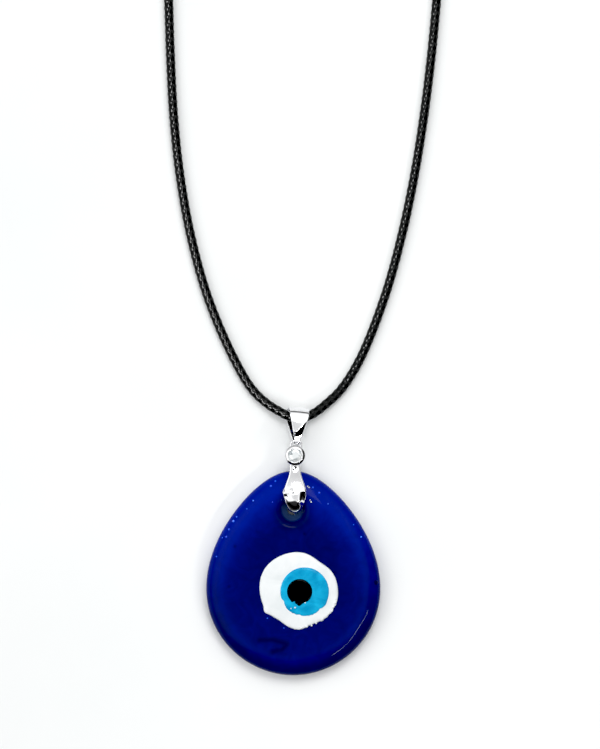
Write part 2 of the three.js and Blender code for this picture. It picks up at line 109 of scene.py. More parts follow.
# Crumbs of white glass at the eye's ragged edge and in the iris, then white beads beside the clip that are
# painted glints, as (x, y, z, radius).
CRUMBS_AND_GLINTS = [
    (9.6, -2.8, 6, 0.2),
    (9.35, -3.6, 6, 0.3),
    (9.0, -4.5, 6, 0.24),
    (8.6, -5.4, 6, 0.3),
    (7.8, -6.1, 6, 0.2),
    (1.9, -9.2, 6, 0.25),
    (3.0, -8.9, 6, 0.3),
    (4.1, -8.7, 6, 0.22),
    (5.1, -8.2, 6, 0.2),
    (0.4, -4.7, 6.5, 0.2),
    (-0.5, -4.9, 6.5, 0.13),
    (2.65, -3.6, 6.5, 0.16),
    # Painted glints: white beads that stand in for reflections on the glass beside the clip.
    (3.2, 22.45, 5.2, 0.14),
    (3.5, 22.2, 5.2, 0.17),
    (3.75, 19.4, 5.8, 0.13),
    (4.0, 18.95, 5.8, 0.18),
]

# One leg of the clip from the side, as y and the height over the clip's mid plane.
LEG_SIDE = [
    (30.75, 0),
    (30.4, 1.6),
    (29.2, 2.5),
    (27.4, 2.82),
    (24.8, 2.76),
    (22.5, 2.95),
    (20.6, 3.1),
    (19.4, 2.98),
    (18.2, 2.5),
    (17.2, 1.85),
    (16.6, 1.25),
    (16.45, 0.8),
    (16.6, 0.4),
]
LEAF_TIP = 16.5
LEAF_WIDTHS = [
    (16.4, 0.7),
    (17.1, 1.5),
    (18.6, 2.25),
    (20.2, 2.55),
    (21.7, 2.5),
    (23.2, 2.0),
    (24.7, 1.4),
    (26.5, 1.15),
    (31.0, 1.25),
]
# Marks on the front leaf as (x, y, width, rise).
LEAF_MARKS = [
    (0.45, 26.3, 0.5, -0.3),
    (-0.15, 21.3, 0.42, -0.28),
    (-1.7, 21.0, 0.5, 0.25),
    (-1.5, 20.2, 0.25, -0.15),
    (1.35, 18.9, 0.42, 0.26),
]
LEG_HALF_THICKNESS = 0.28
EYELET_X = 0.65
EYELET_SIZE = (2.3, 1.9)
EYELET_CORNER = 0.6
EYELET_WIRE = 0.22
LEAF_CROWN = 0.85
SHOULDER_DROP = 0.4
LUMP_REACH = 0.3

# The band from the side is two arcs and the straight runs between them, and the front run has a belly.
# Its half widths go with the place along it from the cord, which is negative toward the clip.
BAND_THICKNESS = 0.3
BAND_SPACING = 0.1
BAND_TOP_RADIUS = 2.35
BAND_BIGHT_RADIUS = 1
BAND_FROM_CORD = (-6.1, -5.2, -4.2, -2.9, 0, 2.3)
BAND_HALF_WIDTHS = (0.5, 0.7, 0.98, 1.38, 2.1, 2.38)
BAND_BELLY = 0.42
BAND_CROWN = 0.12
BAND_REAR_SHIFT = 0.27
BAND_TWIST = math.radians(8)
# A step across the band's front: the direction it goes down in, its distance out, its width and its depth.
BAND_STEP = (0.707, -0.707)
BAND_STEP_OUT = 1.8
BAND_STEP_WIDTH = 1.6
BAND_STEP_DEPTH = 0.55

CORD_RADIUS = 1.05
CORD_SIDES = 48
CORD_SPACING = 0.19
CORD_STRANDS = 6
BRAID_STEP = 1.75
BRAID_RELIEF = 0.15

# The cord's middle line from the left crimp, down the left side, through the bail and back up.
CORD_ROUTE = [
    (-3, 227, 1.65),
    (-7.5, 227, 1.65),
    (-15, 225.4, 1.25),
    (-21.6, 220.6, 1.02),
    (-26, 212.5, 1.02),
    (-28.4, 202, 1.02),
    (-29.4, 190, 1.02),
    (-29.6, 175, 1.02),
    (-29.2, 160, 1.02),
    (-28.5, 145, 1.02),
    (-28, 131.7, 1.02),
    (-27.55, 118.2, 1.02),
    (-26.8, 104.7, 1.02),
    (-25.3, 91.2, 1.02),
    (-22.8, 77.7, 1.02),
    (-19, 64.3, 1.02),
    (-13.2, 50.8, 1.02),
    (-9.1, 44, 1.2),
    (-5.6, 40.75, 1.7),
    (-2.9, 39.1, 2.3),
    (-0.9, 38.08, 2.67),
    (1.1, 37.75, 2.7),
    (3.1, 38.08, 2.67),
    (5.1, 39.1, 2.3),
    (7.2, 40.75, 1.7),
    (10.6, 44, 1.2),
    (14.9, 50.8, 1.02),
    (20.3, 64.3, 1.02),
    (24.1, 77.7, 1.02),
    (27, 91.2, 1.02),
    (29.2, 104.7, 1.02),
    (30.9, 118.2, 1.02),
    (32.2, 131.7, 1.02),
    (33.6, 150, 1.02),
    (34, 170, 1.02),
    (32, 185, 1.02),
    (25.5, 196.5, 1.02),
    (14.5, 202.6, 1.25),
    (4.5, 203.4, 1.65),
    (0, 202.6, 1.65),
]


# ---- mesh helpers: points are in millimetres, and the objects they make are in metres ----


def add_mesh(name, points, faces, body, material, replaces=()):
    mesh = bpy.data.meshes.new(name)
    mesh.from_pydata([tuple(p) for p in np.asarray(points) * MM], [], [tuple(f) for f in faces])
    mesh.validate()
    mesh.shade_smooth()
    piece = bpy.data.objects.new(name, mesh)
    bpy.context.scene.collection.objects.link(piece)
    mesh.materials.append(material)
    if body:
        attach(piece, body)
    if replaces:
        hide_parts(*replaces)
    return piece


def grid_faces(rows, columns, wrap_rows, offset=0):
    """Faces of a grid whose columns close on themselves, and whose rows do if wrap_rows is true."""
    faces = []
    for row in range(rows if wrap_rows else rows - 1):
        above = (row + 1) % rows
        for column in range(columns):
            beside = (column + 1) % columns
            corners = (
                row * columns + column,
                row * columns + beside,
                above * columns + beside,
                above * columns + column,
            )
            faces.append(tuple(offset + corner for corner in corners))
    return faces


def capped_grid(rings):
    """A closed body from rings of points, with a fan over the first ring and over the last one."""
    rows, columns = rings.shape[:2]
    points = np.concatenate([rings.reshape(-1, 3), [rings[0].mean(axis=0)], [rings[-1].mean(axis=0)]])
    faces = grid_faces(rows, columns, False)
    first = rows * columns
    for column in range(columns):
        beside = (column + 1) % columns
        faces.append((first, beside, column))
        faces.append((first + 1, first - columns + column, first - columns + beside))
    return points, faces


def closed_grid(rings):
    rows, columns = rings.shape[:2]
    return rings.reshape(-1, 3), grid_faces(rows, columns, True)


def join_parts(parts):
    points = []
    faces = []
    for part_points, part_faces in parts:
        start = sum(len(p) for p in points)
        points.append(np.asarray(part_points))
        faces += [tuple(start + corner for corner in face) for face in part_faces]
    return np.concatenate(points), faces


def lathe(profile, columns):
    """Rings of points for a [radius, height] profile turned round Z. It starts and ends on the axis."""
    angles = np.arange(columns) / columns * TAU
    rings = [
        np.stack([radius * np.cos(angles), radius * np.sin(angles), np.full(columns, height)], axis=1)
        for radius, height in profile
    ]
    return capped_grid(np.array(rings))


def round_profile(corners, radius, steps=5):
    """A [radius, height] outline with its inner corners rounded."""
    corners = [np.array(c, float) for c in corners]
    line = [corners[0]]
    for before, corner, after in zip(corners, corners[1:], corners[2:]):
        into = before - corner
        out = after - corner
        reach = min(radius, np.linalg.norm(into) / 2.01, np.linalg.norm(out) / 2.01)
        start = corner + into / np.linalg.norm(into) * reach
        end = corner + out / np.linalg.norm(out) * reach
        for step in range(steps + 1):
            share = step / steps
            line.append((1 - share) ** 2 * start + 2 * share * (1 - share) * corner + share**2 * end)
    line.append(corners[-1])
    return line


def smooth_line(points, per_step):
    """A centripetal Catmull-Rom line through the points, as the CAD tube follows it."""
    points = np.array(points, float)
    line = []
    for i in range(len(points) - 1):
        p1, p2 = points[i], points[i + 1]
        p0 = points[i - 1] if i else 2 * p1 - p2
        p3 = points[i + 2] if i + 2 < len(points) else 2 * p2 - p1
        t01, t12, t23 = (math.sqrt(np.linalg.norm(b - a)) for a, b in ((p0, p1), (p1, p2), (p2, p3)))
        m1 = ((p1 - p0) / t01 - (p2 - p0) / (t01 + t12) + (p2 - p1) / t12) * t12
        m2 = ((p2 - p1) / t12 - (p3 - p1) / (t12 + t23) + (p3 - p2) / t23) * t12
        for t in np.arange(per_step) / per_step:
            line.append(
                (2 * t**3 - 3 * t**2 + 1) * p1
                + (t**3 - 2 * t**2 + t) * m1
                + (3 * t**2 - 2 * t**3) * p2
                + (t**3 - t**2) * m2
            )
    line.append(points[-1])
    return np.array(line)


def spaced(line, spacing):
    """The line again, with its points this far apart."""
    lengths = np.concatenate([[0], np.cumsum(np.linalg.norm(np.diff(line, axis=0), axis=1))])
    count = int(lengths[-1] / spacing) + 1
    at = np.linspace(0, lengths[-1], count)
    return np.stack([np.interp(at, lengths, line[:, axis]) for axis in range(3)], axis=1), at


def unit(vectors):
    return vectors / np.linalg.norm(vectors, axis=-1, keepdims=True)


def wire_loop(line, radius, sides=12):
    """A round wire along a closed flat line in the XY plane."""
    along = unit(np.roll(line, -1, axis=0) - np.roll(line, 1, axis=0))
    outward = np.stack([along[:, 1], -along[:, 0], np.zeros(len(line))], axis=1)
    angles = np.arange(sides) / sides * TAU
    up = np.array([0, 0, 1])
    rings = line[:, None] + radius * (
        np.cos(angles)[None, :, None] * outward[:, None] + np.sin(angles)[None, :, None] * up
    )
    return closed_grid(rings)


def strip_section(half_width, half_thickness, columns=44, edge=8):
    """Points round the section of a flat strip with round edges, as offsets across it and through it."""
    flat = max(half_width - half_thickness, 0.02)
    turn = np.linspace(-math.pi / 2, math.pi / 2, edge)
    span = np.linspace(flat, -flat, columns)[1:-1]
    round_edge = half_thickness * np.cos(turn)
    across = np.concatenate([flat + round_edge, span, -flat - round_edge, -span])
    rise = half_thickness * np.sin(turn)
    level = np.full(len(span), half_thickness)
    return across, np.concatenate([rise, level, -rise, -level])


def placed(part, matrix):
    points, faces = part
    matrix = np.array(matrix)
    return np.asarray(points) @ matrix[:3, :3].T + matrix[:3, 3], faces


# ---- materials ----


def grey(value):
    return (value, value, value)


class Nodes:
    """Short ways to add nodes to a tree."""

    def __init__(self, tree):
        self.tree = tree

    def node(self, kind, **settings):
        node = self.tree.nodes.new(kind)
        for key, value in settings.items():
            if hasattr(node, key):
                setattr(node, key, value)
            else:
                node.inputs[key.replace("_", " ")].default_value = value
        return node

    def link(self, output, target):
        self.tree.links.new(output, target)
        return target

    def coordinates(self):
        return self.node("ShaderNodeTexCoord").outputs["Object"]

    def noise(self, size, detail=3, roughness=0.5, distortion=0.0):
        """Noise whose features are about this many millimetres across."""
        node = self.node("ShaderNodeTexNoise", Scale=1 / (size * MM), Detail=detail)
        node.inputs["Roughness"].default_value = roughness
        node.inputs["Distortion"].default_value = distortion
        self.link(self.coordinates(), node.inputs["Vector"])
        return node.outputs["Fac"]

    def ramp(self, source, stops):
        node = self.node("ShaderNodeValToRGB")
        elements = node.color_ramp.elements
        while len(elements) < len(stops):
            elements.new(0.5)
        for element, (position, color) in zip(elements, stops):
            element.position = position
            element.color = (*color, 1) if len(color) == 3 else color
        self.link(source, node.inputs["Fac"])
        return node.outputs["Color"]

    def range(self, source, low, high, low_in=0, high_in=1):
        node = self.node("ShaderNodeMapRange")
        node.inputs["From Min"].default_value = low_in
        node.inputs["From Max"].default_value = high_in
        node.inputs["To Min"].default_value = low
        node.inputs["To Max"].default_value = high
        self.link(source, node.inputs["Value"])
        return node.outputs["Result"]

    def add(self, first, second):
        node = self.node("ShaderNodeMath", operation="ADD")
        self.link(first, node.inputs[0])
        self.link(second, node.inputs[1])
        return node.outputs["Value"]

    def mix(self, share, first, second, blend="MIX"):
        node = self.node("ShaderNodeMix", data_type="RGBA", blend_type=blend)
        for source, place in ((share, 0), (first, 6), (second, 7)):
            target = node.inputs[place]
            if hasattr(source, "is_output"):
                self.link(source, target)
            else:
                target.default_value = source
        return node.outputs[2]

    def attribute(self, name):
        return self.node("ShaderNodeAttribute", attribute_name=name).outputs["Fac"]


class Material(Nodes):
    """A Principled material."""

    def __init__(self, name, **inputs):
        self.material = bpy.data.materials.new(name)
        self.material.use_nodes = True
        super().__init__(self.material.node_tree)
        self.shader = self.tree.nodes["Principled BSDF"]
        for key, value in inputs.items():
            self.shader.inputs[key.replace("_", " ")].default_value = value

    def bump(self, height, distance, strength=1.0):
        node = self.node("ShaderNodeBump", Distance=distance * MM, Strength=strength)
        self.link(height, node.inputs["Height"])
        self.link(node.outputs["Normal"], self.shader.inputs["Normal"])


def cobalt_glass():
    glass = Material("cobalt_glass", IOR=1.45)
    glass.shader.inputs["Specular IOR Level"].default_value = 0.06
    uneven = glass.range(glass.noise(4, detail=5, roughness=0.6, distortion=1.6), -0.24, 0.24)
    # The tone attribute is painted light and shade; the noise added to it is the glass's own unevenness.
    tone = glass.add(glass.attribute("tone"), uneven)
    deep = glass.ramp(
        tone,
        [
            (0.0, (0.0004, 0.0035, 0.05)),
            (0.3, (0.0006, 0.0052, 0.085)),
            (0.45, (0.0007, 0.006, 0.12)),
            (0.6, (0.0009, 0.007, 0.165)),
            (1.0, (0.0015, 0.012, 0.27)),
        ],
    )
    ground = glass.attribute("ground")
    glass.link(glass.mix(ground, deep, (0.06, 0.12, 0.25, 1)), glass.shader.inputs["Base Color"])
    glass.link(glass.range(ground, 0.05, 0.6), glass.shader.inputs["Roughness"])
    glass.bump(glass.noise(7, detail=2), 0.2, 0.3)
    return glass.material


def spot_glass(name, deep, pale, size, shine):
    """Opaque glass of the eye: two close tones in soft streaks."""
    glass = Material(name, Roughness=0.12)
    glass.shader.inputs["Specular IOR Level"].default_value = shine
    tone = glass.noise(size, detail=4, distortion=0.8)
    glass.link(glass.ramp(tone, [(0.35, deep), (0.65, pale)]), glass.shader.inputs["Base Color"])
    glass.bump(glass.noise(1.5, detail=2), 0.05, 0.4)
    return glass.material


def sparkle_painted_seed_glass():
    glass = Material("sparkle_painted_seed_glass", Roughness=0.05)
    # Bright blue, much paler than the cobalt: a painted sparkle on the bubbles.
    tone = glass.ramp(glass.noise(1.2, detail=1), [(0.3, (0.0, 0.02, 0.6)), (0.7, (0.05, 0.2, 1.0))])
    glass.link(tone, glass.shader.inputs["Base Color"])
    return glass.material


def silver(name, color, roughness):
    """Polished plated metal, with fine scratches and slight waviness."""
    metal = Material(name, Metallic=1.0)
    tone = metal.ramp(metal.noise(3), [(0.3, [0.86 * c for c in color]), (0.7, color)])
    metal.link(tone, metal.shader.inputs["Base Color"])
    fine = metal.noise(0.35, detail=5, roughness=0.65)
    metal.link(metal.range(fine, 0.5 * roughness, 1.6 * roughness), metal.shader.inputs["Roughness"])
    metal.bump(metal.noise(1.6, detail=3), 0.04, 0.35)
    return metal.material


def crystal():
    stone = Material("crystal", Roughness=0.03, IOR=1.6, Metallic=0.35)
    # Dark grey to white cells paint the flashes and dark reflections of the cut facets.
    painted_facet_flashes = stone.node("ShaderNodeTexVoronoi", Scale=1 / (0.8 * MM))
    stone.link(stone.coordinates(), painted_facet_flashes.inputs["Vector"])
    stops = [(0.12, (0.3, 0.34, 0.36)), (0.35, (0.84, 0.88, 0.89)), (1.0, (0.97, 0.98, 0.98))]
    tone = stone.ramp(painted_facet_flashes.outputs["Color"], stops)
    stone.link(tone, stone.shader.inputs["Base Color"])
    return stone.material


def waxed_cord():
    wax = Material("waxed_cord")
    wax.shader.inputs["Specular IOR Level"].default_value = 0.14
    stops = [(0.3, (0.0008, 0.001, 0.001)), (0.75, (0.0025, 0.003, 0.003))]
    tone = wax.ramp(wax.noise(1.4, detail=5), stops)
    wax.link(tone, wax.shader.inputs["Base Color"])
    wax.link(wax.range(wax.noise(9, detail=2), 0.05, 0.25), wax.shader.inputs["Roughness"])
    wax.bump(wax.noise(0.15, detail=3), 0.015, 0.5)
    return wax.material


# ---- the camera, the light and the table ----


def add_camera():
    data = bpy.data.cameras.new("camera")
    data.lens = VIEW_LENS
    data.sensor_width = SENSOR
    camera = bpy.data.objects.new("camera", data)
    height = VIEW_HEIGHT * VIEW_LENS / SENSOR
    camera.location = (VIEW_CENTRE[0] * MM, VIEW_CENTRE[1] * MM, height * MM)
    data.clip_start = 0.01
    bpy.context.scene.collection.objects.link(camera)
    bpy.context.scene.camera = camera


def area_light(name, azimuth, off_zenith, distance, size, power, casts=True):
    """A rectangle that faces the origin from an azimuth (0 is +X, 90 is +Y) and an angle off the zenith.

    With casts off it adds no diffuse light, only highlights.
    """
    azimuth = math.radians(azimuth)
    off_zenith = math.radians(off_zenith)
    out = math.sin(off_zenith)
    toward = Vector((math.cos(azimuth) * out, math.sin(azimuth) * out, math.cos(off_zenith)))
    data = bpy.data.lights.new(name, "AREA")
    data.shape = "RECTANGLE"
    data.size = size[0] * MM
    data.size_y = size[1] * MM
    data.energy = power
    light = bpy.data.objects.new(name, data)
    light.location = toward * distance * MM
    light.rotation_euler = (-toward).to_track_quat("-Z", "Y").to_euler()
    light.visible_diffuse = casts
    bpy.context.scene.collection.objects.link(light)
    return light


# Sides where the white tent is dimmer, as (direction, where it starts, where it ends, brightness there).
DIM_SIDES = [
    ((0.1, -1, 0), 0.36, 0.54, 0.02),
    ((1, -0.2, 0), 0.5, 0.68, 0.03),
    ((0, 1, 0), 0.4, 0.6, 0.6),
]


def add_world():
    """A white tent, darker low down and on three sides."""
    world = bpy.data.worlds.new("studio")
    bpy.context.scene.world = world
    world.use_nodes = True
    sky = Nodes(world.node_tree)
    direction = sky.node("ShaderNodeTexCoord").outputs["Generated"]
    split = sky.node("ShaderNodeSeparateXYZ")
    sky.link(direction, split.inputs["Vector"])
    height = sky.ramp(
        split.outputs["Z"],
        [
            (0.0, grey(1.0)),
            (0.12, grey(0.8)),
            (0.22, grey(0.06)),
            (0.36, grey(0.08)),
            (0.5, grey(0.8)),
            (0.72, grey(1.1)),
            (0.88, grey(0.7)),
            (0.96, grey(0.44)),
            (1.0, grey(0.4)),
        ],
    )
    color = height
    for side, start, end, brightness in DIM_SIDES:
        toward = sky.node("ShaderNodeVectorMath", operation="DOT_PRODUCT")
        toward.inputs[1].default_value = side
        sky.link(direction, toward.inputs[0])
        shade = sky.range(toward.outputs["Value"], 1.0, brightness, low_in=start, high_in=end)
        color = sky.mix(1.0, color, shade, blend="MULTIPLY")
    background = world.node_tree.nodes["Background"]
    sky.link(color, background.inputs["Color"])
    background.inputs["Strength"].default_value = 1.95


def add_table():
    table = Material("table", Roughness=0.7)
    table.shader.inputs["Specular IOR Level"].default_value = 0.1
    tone = table.ramp(table.noise(60), [(0.3, (0.88, 0.9, 0.9)), (0.7, (0.92, 0.93, 0.93))])
    table.link(tone, table.shader.inputs["Base Color"])
    reach = 3000
    corners = [(-reach, -reach, 0), (reach, -reach, 0), (reach, reach, 0), (-reach, reach, 0)]
    add_mesh("table", corners, [(0, 1, 2, 3)], None, table.material)


def add_cord_light(cord):
    """A soft box for the wax's glints alone, so that it leaves the glass and the silver as they are."""
    light = area_light(
        "glint", azimuth=190, off_zenith=22, distance=550, size=(230, 230), power=8, casts=False
    )
    receivers = bpy.data.collections.new("glint_receivers")
    receivers.objects.link(cord)
    light.light_linking.receiver_collection = receivers


def add_studio():
    add_camera()
    add_world()
    add_table()
    area_light("key", azimuth=78, off_zenith=30, distance=550, size=(220, 220), power=0.8)
    area_light("strip", azimuth=-40, off_zenith=44, distance=480, size=(260, 16), power=0.36)
    view = bpy.context.scene.view_settings
    view.view_transform = "Standard"
    view.use_curve_mapping = True
    view.curve_mapping.black_level = grey(0.008)
    view.curve_mapping.update()


# ---- the glass ----


def drop_outline(angles):
    low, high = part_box("glass_drop")
    middle = (low.y + high.y) / 2 / MM
    half_height = (high.y - low.y) / 2 / MM
    s = np.sin(angles)
    half_width = DROP_HALF + DROP_TAPER * s + DROP_SHOULDER * s * s
    return np.stack([np.cos(angles) * half_width, middle + half_height * s], axis=1)


def front_height(inset, thickness):
    """The front's height this far in from the outline: a pillow that is flat past FRONT_ROUND."""
    share = np.clip(inset / FRONT_ROUND, 0, 1)
    return RIM_HEIGHT + (thickness - RIM_HEIGHT) * (1 - (1 - share) ** 2.5) ** 0.4


def front_top():
    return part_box("glass_drop")[1].z / MM - FRONT_WAVES


def back_height(y):
    start, end, depth = RELIEF
    share = np.clip((y - start) / (end - start), 0, 1)
    return depth * share * share * (3 - 2 * share)


def waviness(points, size, seed):
    """Soft hills about this many millimetres across, between -1 and 1."""
    rng = np.random.default_rng(seed)
    total = np.zeros(len(points))
    for _ in range(6):
        direction = rng.normal(size=2)
        direction *= TAU / size / np.linalg.norm(direction) * rng.uniform(0.6, 1.5)
        total += np.sin(points @ direction + rng.uniform(0, TAU))
    return total / 6


def smoothstep(values, start, end):
    share = np.clip((values - start) / (end - start), 0, 1)
    return share * share * (3 - 2 * share)


def hill(values, middle, width):
    return np.exp(-(((values - middle) / width) ** 2))


def distance_to_line(points, line):
    """How far each point is from a chain of straight pieces."""
    best = np.full(len(points), np.inf)
    for start, end in zip(line, line[1:]):
        start = np.array(start)
        step = np.array(end) - start
        share = np.clip((points - start) @ step / (step @ step), 0, 1)
        best = np.minimum(best, np.linalg.norm(points - start - share[:, None] * step, axis=1))
    return best


def painted_glass_shading(points, gaps):
    """Painted light and shade of the glass, 0 to 1: painted shade round the eye, the hole, the fold and
    the lower rim, painted light at the sides and higher up, with the glass's own dark specks.
    """
    from_middle = np.linalg.norm(points - (0, 4), axis=1)
    from_hole = np.linalg.norm(points - hole_centre(), axis=1)
    spread = smoothstep(from_middle, 8, 18)
    tone = 0.4 + spread * (0.1 + 0.45 * smoothstep(points[:, 1], -4, 14))
    tone += 0.1 * hill(gaps, 3.4, 0.8)
    tone -= 0.2 * hill(gaps, 1.2, 1.1) * smoothstep(-points[:, 1], 2, 11)
    tone -= 0.3 * hill(from_hole, HOLE_RADIUS + 0.6, 1.3)
    tone -= 0.35 * hill(distance_to_line(points, WRINKLE), 0, 0.5)
    for spot in DARK_SPOTS:
        tone -= 0.3 * hill(np.linalg.norm(points - spot, axis=1), 0, 0.35)
    return np.clip(tone, 0, 1)


def hole_centre():
    return np.array(joints["pendant_on_clip"]["pos_m"][:2]) / MM


def glass_rings():
    """Rings of points from the hole's back edge up its wall, over the front and round to the back.

    With them come the glass's painted light and shade, as its tone, and how much it is ground, at each
    point.
    """
    thickness = front_top()
    pivot = hole_centre()
    angles = np.arange(GLASS_SIDES) / GLASS_SIDES * TAU
    outline = drop_outline(angles)
    along = unit(np.roll(outline, -1, axis=0) - np.roll(outline, 1, axis=0))
    inward = np.stack([-along[:, 1], along[:, 0]], axis=1)
    toward = unit(outline - pivot)
    # Points that the front doesn't show get the glass's painted shade from this far in from the outline.
    hidden = np.full(GLASS_SIDES, 3.0)

    def front(points):
        gaps = np.linalg.norm(points[:, None] - outline[None], axis=2).min(axis=1)
        from_hole = np.linalg.norm(points - pivot, axis=1) - HOLE_RADIUS
        dip = np.clip(1 - from_hole / 1.6, 0, 1)
        heights = front_height(gaps, thickness)
        heights += FRONT_WAVES * waviness(points, 11, 3) * np.clip(gaps / 3, 0, 1)
        heights -= 1.3 * (1 - np.sqrt(1 - 0.99 * dip**2))
        heights -= 0.14 * hill(distance_to_line(points, WRINKLE), 0, 0.45)
        return heights, gaps

    rings = []
    tones = []
    ground = []

    def add(points, heights, gaps, rough=0.0):
        rings.append(np.column_stack([points, heights]))
        tones.append(painted_glass_shading(points, gaps))
        ground.append(np.full(GLASS_SIDES, rough))

    wall = pivot + HOLE_RADIUS * toward
    neck = pivot + HOLE_NECK * toward
    top = front(wall)[0]
    base = back_height(neck[:, 1]) + NECK_ROUND
    for share in np.linspace(0, 1, 12):
        flare = share**0.6
        add(neck + flare * (wall - neck), base + share * (top - base), hidden, 1 - share)
    lip = outline + LIP_WIDTH * inward
    for row in range(1, FRONT_ROWS + 1):
        points = wall + (row / FRONT_ROWS) ** 1.2 * (lip - wall)
        add(points, *front(points))
    for inset in LIP_WIDTH * (1 - np.sin(np.linspace(0, math.pi / 2, 14)))[1:-1]:
        gaps = np.full(GLASS_SIDES, inset)
        add(outline + inset * inward, front_height(gaps, thickness), gaps)
    back = back_height(outline[:, 1])
    for angle in np.linspace(0, math.pi / 2, 9):
        inset = BACK_ROUND * (1 - math.cos(angle))
        heights = back + (RIM_HEIGHT - back) * (1 - math.sin(angle))
        add(outline + inset * inward, heights, np.full(GLASS_SIDES, inset))
    edge = outline + BACK_ROUND * inward
    ledge = pivot + (HOLE_NECK + NECK_ROUND) * toward
    for share in np.linspace(0, 1, 30)[1:]:
        points = edge + share * (ledge - edge)
        add(points, back_height(points[:, 1]), hidden)
    for angle in np.linspace(0, math.pi / 2, 6)[1:-1]:
        points = pivot + (HOLE_NECK + NECK_ROUND * (1 - math.sin(angle))) * toward
        add(points, back_height(points[:, 1]) + NECK_ROUND * (1 - math.cos(angle)), hidden)
    return np.array(rings), {"tone": np.array(tones), "ground": np.array(ground)}


def add_glass():
    rings, values = glass_rings()
    points, faces = closed_grid(rings[:, ::-1])
    glass = cobalt_glass()
    piece = add_mesh("glass_teardrop", points, faces, "pendant", glass, ["glass_drop"])
    for name, rows in values.items():
        attribute = piece.data.attributes.new(name, "FLOAT", "POINT")
        attribute.data.foreach_set("value", rows[:, ::-1].reshape(-1).astype(np.float32))
    add_seeds(glass)


def dome(centre, radius, tall, sides=14):
    """A low round bead with its base sunk into the glass."""
    angles = np.arange(sides) / sides * TAU
    rings = []
    for turn in np.linspace(-0.4, 0.97, 7) * math.pi / 2:
        ring = np.stack([np.cos(angles), np.sin(angles), np.zeros(sides)], axis=1)
        middle = np.array([*centre[:2], centre[2] + tall * math.sin(turn)])
        rings.append(ring * radius * math.cos(turn) + middle)
    return capped_grid(np.array(rings))


def surface_height(x, y):
    outline = drop_outline(np.arange(GLASS_SIDES) / GLASS_SIDES * TAU)
    gap = np.linalg.norm(outline - (x, y), axis=1).min()
    return float(front_height(gap, front_top()))


def add_seeds(glass):
    """Small bubbles that have come up through the glass, which catch the light; their bright blue colour
    is a painted sparkle.
    """
    beads = [dome((x, y, surface_height(x, y)), size, 0.7 * size) for x, y, size in SEEDS]
    seeds = add_mesh("glass_seeds", *join_parts(beads), "pendant", sparkle_painted_seed_glass())
    x, y, size = SIDE_BEAD
    # The bump carries no tone attribute, so it takes the darkest blue of the glass's painted shade.
    bump = add_mesh("glass_bump", *dome((x, y, surface_height(x, y)), size, 0.4), "pendant", glass)


def lobed(angles, radius, lobes, teeth, toothed):
    """A round outline with lobes, each (degrees, share of the radius, half width in degrees).

    It is ragged by a share of teeth between the two angles of toothed.
    """
    degrees = np.degrees(angles)
    out = np.ones(len(angles))
    for at, share, width in lobes:
        off = (degrees - at + 180) % 360 - 180
        out += share * np.exp(-((off / width) ** 2))
    if teeth:
        start, end = toothed
        ragged = np.repeat(random.uniform(-1, 1, len(angles) // 3 + 1), 3)[: len(angles)]
        out += teeth * ragged * ((degrees > start) & (degrees < end))
    return radius * out


def eye_spot(name, node, material, lobes, teeth=0.0, toothed=(0, 0)):
    """A low spot of glass in the place of a CAD node, with its foot sunk into what is under it."""
    low, high = (np.array(corner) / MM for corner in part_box(node))
    middle = (low + high) / 2
    rise = high[2] - low[2]
    columns = 240
    angles = np.arange(columns) / columns * TAU
    edge = lobed(angles, (high[0] - low[0]) / 2, lobes, teeth, toothed)
    rings = []
    for share in (0.02, 0.3, 0.6, 0.8, 0.9, 0.95, 0.98, 1.0):
        lift = low[2] + rise * (1 - share**8) ** 0.5 - 0.02
        radius = edge if share > 0.75 else (edge * share + (1 - share) * edge.mean())
        ring = np.column_stack([np.cos(angles) * radius * share, np.sin(angles) * radius * share])
        rings.append(np.column_stack([middle[:2] + ring, np.full(columns, lift)]))
    base = rings[-1].copy()
    base[:, 2] = low[2] - 0.3
    centre = base * 0.02 + np.array([*middle[:2], low[2] - 0.3]) * 0.98
    points, faces = capped_grid(np.array([*rings, base, centre])[::-1])
    piece = add_mesh(name, points, faces, "pendant", material, [node])


def add_eye():
    white = spot_glass("white_glass", (0.76, 0.8, 0.81), (0.86, 0.89, 0.9), 5, 0.2)
    iris = spot_glass("light_blue_glass", (0.004, 0.28, 0.53), (0.012, 0.43, 0.72), 3, 0.1)
    pupil = spot_glass("black_glass", (0.001, 0.0015, 0.0012), (0.003, 0.004, 0.004), 2, 0.05)
    white_lobes = [
        (55, -0.085, 22),
        (150, 0.055, 32),
        (212, 0.06, 6),
        (236, -0.07, 16),
        (270, 0.02, 6),
        (292, -0.055, 16),
        (345, 0.02, 15),
    ]
    eye_spot("eye_white_glass", "eye_white", white, white_lobes, 0.012, (262, 340))
    iris_lobes = [(205, -0.05, 6), (232, 0.02, 8), (258, -0.03, 5), (310, -0.05, 8), (330, 0.02, 5)]
    eye_spot("eye_iris_glass", "eye_iris", iris, iris_lobes, 0.012, (200, 330))
    pupil_lobes = [(242, -0.14, 5), (232, 0.04, 5), (268, 0.14, 9), (295, -0.06, 10)]
    eye_spot("eye_pupil_glass", "eye_pupil", pupil, pupil_lobes)
    # The crumbs, and the white beads that are painted glints beside the clip.
    crumbs = [dome((x, y, z), size, 0.8 * size) for x, y, z, size in CRUMBS_AND_GLINTS]
    piece = add_mesh("eye_crumbs_and_painted_glints", *join_parts(crumbs), "pendant", white)


# ---- the bail ----


